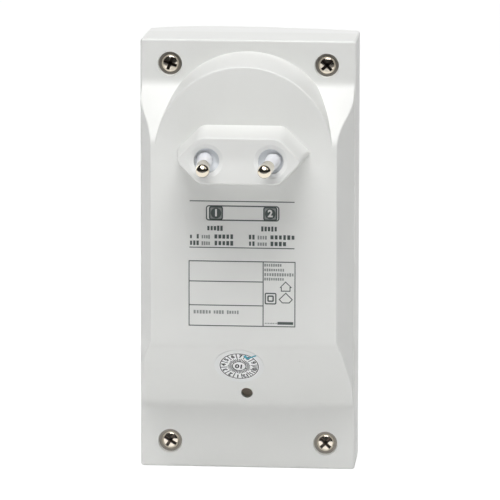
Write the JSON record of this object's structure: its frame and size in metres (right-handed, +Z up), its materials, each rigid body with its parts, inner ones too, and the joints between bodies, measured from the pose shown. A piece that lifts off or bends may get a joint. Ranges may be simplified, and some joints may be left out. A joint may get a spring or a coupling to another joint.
{
  "type": "plug-in doorbell chime box",
  "caption": "Mains plug-in chime box for a wireless doorbell: a bowed white case with a flat round-pin plug on its back, push buttons underneath and a loudspeaker behind a slotted grille.",
  "frame": {"origin": "middle of the plug's face, between the two pins", "axes": "+Z up as plugged in, -Y out of the plug's face towards the socket, +X to the right as seen from the plug side"},
  "size_m": [0.0636, 0.0814, 0.1283],
  "materials": {
    "housing_white": "satin moulded",
    "cover_white": "satin moulded",
    "pin_metal": "polished nickel plate",
    "sleeve_plastic": "moulded",
    "carrier_plastic": "moulded",
    "contact_brass": "stamped",
    "screw_steel": "nickel plated",
    "sticker_paper": "printed paper",
    "board_green": "solder resist",
    "core_steel": "varnished laminations",
    "bobbin_black": "moulded",
    "winding_copper": "enamelled wire",
    "fuse_green": "painted barrel",
    "varistor_blue": "dipped",
    "diode_black": "moulded",
    "capacitor_sleeve": "shrink sleeve",
    "chip_black": "moulded",
    "crystal_steel": "pressed can",
    "radio_green": "solder resist",
    "header_brass": "plated",
    "shield_tin": "tinned",
    "coil_copper": "enamelled wire",
    "wire_red": "insulated wire",
    "wire_white": "insulated wire",
    "switch_black": "moulded",
    "dome_steel": "spring steel",
    "button_black": "moulded",
    "lamp_blue": "clear epoxy",
    "pipe_clear": "clear",
    "cloth_black": "woven",
    "gasket_black": "foam",
    "surround_black": "moulded",
    "basket_steel": "pressed steel",
    "terminal_board": "laminate",
    "plate_zinc": "zinc plated",
    "magnet_ferrite": "ferrite",
    "cone_paper": "pressed paper",
    "cap_paper": "pressed paper",
    "spider_cloth": "treated cloth",
    "clamp_steel": "zinc plated"
  },
  "bodies": {
    "box": {"rear_housing": "housing_white", "front_cover": "cover_white", "plug_pins": "pin_metal", "pin_sleeves": "sleeve_plastic", "pin_carrier": "carrier_plastic", "pin_contacts": "contact_brass", "housing_screws": "screw_steel", "date_sticker": "sticker_paper", "main_board": "board_green", "board_screws": "screw_steel", "transformer_core": "core_steel", "transformer_bobbin": "bobbin_black", "transformer_windings": "winding_copper", "fuse_resistor": "fuse_green", "varistor": "varistor_blue", "rectifier_diodes": "diode_black", "smoothing_capacitor": "capacitor_sleeve", "voltage_regulator": "chip_black", "melody_chip": "chip_black", "amplifier_chip": "chip_black", "crystal": "crystal_steel", "receiver_board": "radio_green", "receiver_pins": "header_brass", "receiver_shield": "shield_tin", "tuning_coil": "coil_copper", "aerial_wire": "wire_red", "switch_bodies": "switch_black", "switch_domes": "dome_steel", "status_light": "lamp_blue", "light_pipe": "pipe_clear", "grille_cloth": "cloth_black", "speaker_gasket": "gasket_black", "speaker_surround": "surround_black", "speaker_frame": "basket_steel", "speaker_terminals": "terminal_board", "top_plate": "plate_zinc", "speaker_magnet": "magnet_ferrite", "speaker_yoke": "plate_zinc", "spider": "spider_cloth", "speaker_clamps": "clamp_steel", "clamp_screws": "screw_steel", "speaker_leads": "wire_white"},
    "button_1": {"button_1": "button_black"},
    "button_2": {"button_2": "button_black"},
    "cone": {"speaker_cone": "cone_paper", "voice_coil": "coil_copper", "dust_cap": "cap_paper"}
  },
  "joints": [
    {"name": "button_1_press", "type": "slide", "parent": "box", "child": "button_1", "axis": [0, 0, 1], "range_m": [0, 0.0005], "stiffness_N_per_m": 600, "springref_m": -0.0005},
    {"name": "button_2_press", "type": "slide", "parent": "box", "child": "button_2", "axis": [0, 0, 1], "range_m": [0, 0.0005], "stiffness_N_per_m": 600, "springref_m": -0.0005},
    {"name": "cone_travel", "type": "slide", "parent": "box", "child": "cone", "axis": [0, 1, 0], "range_m": [-0.0004, 0.0004], "stiffness_N_per_m": 1000, "deforming": ["speaker_surround", "spider"]}
  ]
}
